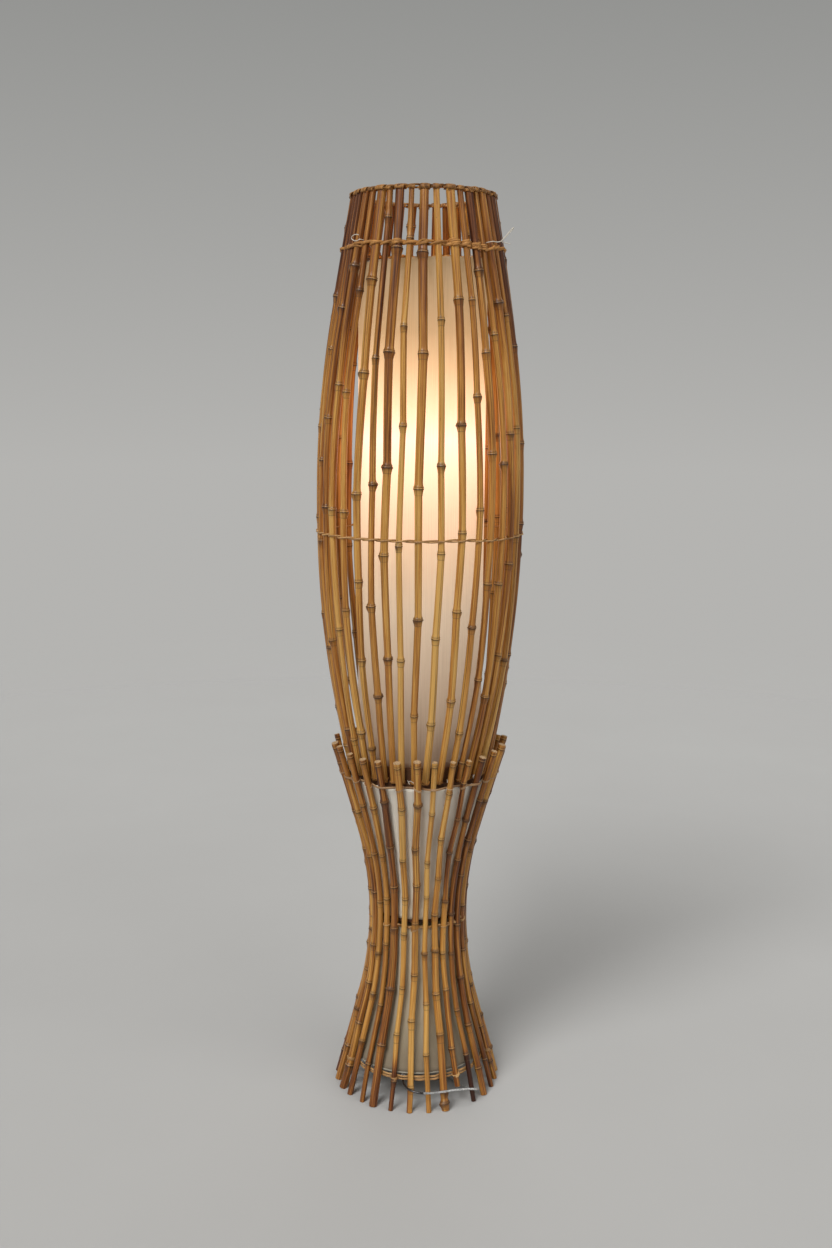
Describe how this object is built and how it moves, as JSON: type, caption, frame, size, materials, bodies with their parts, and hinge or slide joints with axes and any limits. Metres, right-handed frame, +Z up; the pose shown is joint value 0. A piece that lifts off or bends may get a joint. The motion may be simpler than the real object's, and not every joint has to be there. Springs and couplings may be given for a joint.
{
  "type": "floor lamp",
  "caption": "Tall floor lamp: a lit cloth cylinder inside a barrel-shaped basket of bent canes, standing in a waisted stand of canes with a flared crown and foot.",
  "frame": {"origin": "on the floor under the lamp's upright axis", "axes": "+Z up, -Y towards the front, where the flex leaves the foot, +X to the right as seen from the front"},
  "size_m": [0.3283, 0.3896, 1.407],
  "materials": {
    "basket_cane": "satin cane skin, golden tan with browner canes among them, darker at the nodes",
    "stand_cane": "satin cane skin, tan to brown, darker at the nodes",
    "rattan": "satin split rattan",
    "foot_rod": "satin round rattan",
    "rope": "twisted grass rope, matt",
    "white_wire": "white coated wire",
    "brown_wood": "brown stained wood",
    "dark_wood": "dark stained wood",
    "diffuser_cloth": "fine cream cloth, lit from inside",
    "liner_cloth": "grey cream cloth, matt",
    "zinc_steel": "zinc plated steel",
    "black_plastic": "black moulded plastic",
    "porcelain": "white lampholder ceramic",
    "brass": "plain brass",
    "nickel": "nickel plated brass",
    "bulb_glass": "frosted glass, lit",
    "dark_flex": "dark flex sheath",
    "clear_flex": "clear flex sheath over silvery wire",
    "white_plastic": "white moulded plastic",
    "rocker_plastic": "white moulded plastic"
  },
  "bodies": {
    "stand": {"collar_disc": "brown_wood", "crown_binding": "rattan", "flex_clip": "white_plastic", "flex_coil": "clear_flex", "flex_link": "clear_flex", "flex_run": "clear_flex", "flex_tail": "clear_flex", "foot_binding": "foot_rod", "holder_cap": "black_plastic", "holder_contacts": "brass", "holder_insert": "porcelain", "holder_shell": "black_plastic", "inner_lead": "dark_flex", "lamp_pole": "zinc_steel", "liner_rim": "white_wire", "lower_liner": "liner_cloth", "plug_body": "white_plastic", "plug_pins": "nickel", "pole_nuts": "zinc_steel", "pole_washers": "zinc_steel", "stand_canes_01": "stand_cane", "stand_canes_02": "stand_cane", "stand_canes_03": "stand_cane", "stand_canes_04": "stand_cane", "stand_canes_05": "stand_cane", "stand_canes_06": "stand_cane", "stand_canes_07": "stand_cane", "stand_canes_08": "stand_cane", "stand_canes_09": "stand_cane", "stand_canes_10": "stand_cane", "switch_base": "white_plastic", "switch_cover": "white_plastic", "switch_screws": "zinc_steel", "upper_liner": "liner_cloth", "waist_binding": "rattan", "waist_disc": "dark_wood"},
    "basket": {"basket_canes_01": "basket_cane", "basket_canes_02": "basket_cane", "basket_canes_03": "basket_cane", "basket_canes_04": "basket_cane", "basket_canes_05": "basket_cane", "basket_canes_06": "basket_cane", "basket_canes_07": "basket_cane", "basket_canes_08": "basket_cane", "basket_canes_09": "basket_cane", "basket_canes_10": "basket_cane", "basket_canes_11": "basket_cane", "basket_canes_12": "basket_cane", "basket_canes_13": "basket_cane", "top_rim_binding": "rattan", "neck_binding": "rope", "belly_binding": "rattan", "tie_wires": "white_wire", "diffuser": "diffuser_cloth", "diffuser_hoops": "white_wire", "basket_foot_disc": "brown_wood"},
    "bulb": {"bulb_cap": "nickel", "bulb_glass": "bulb_glass"},
    "rocker": {"switch_rocker": "rocker_plastic"}
  },
  "joints": [
    {"name": "basket_lift", "type": "slide", "parent": "stand", "child": "basket", "axis": [0, 0, 1], "range_m": [0, 0.62]},
    {"name": "bulb_unscrew", "type": "hinge", "parent": "stand", "child": "bulb", "pos_m": [0, 0, 0.984], "axis": [0, 0, 1], "range_deg": [0, 1080]},
    {"name": "switch_rocker", "type": "hinge", "parent": "stand", "child": "rocker", "pos_m": [0.012, 0.1655, 0.0125], "axis": [0, 1, 0], "range_deg": [0, 12]}
  ]
}
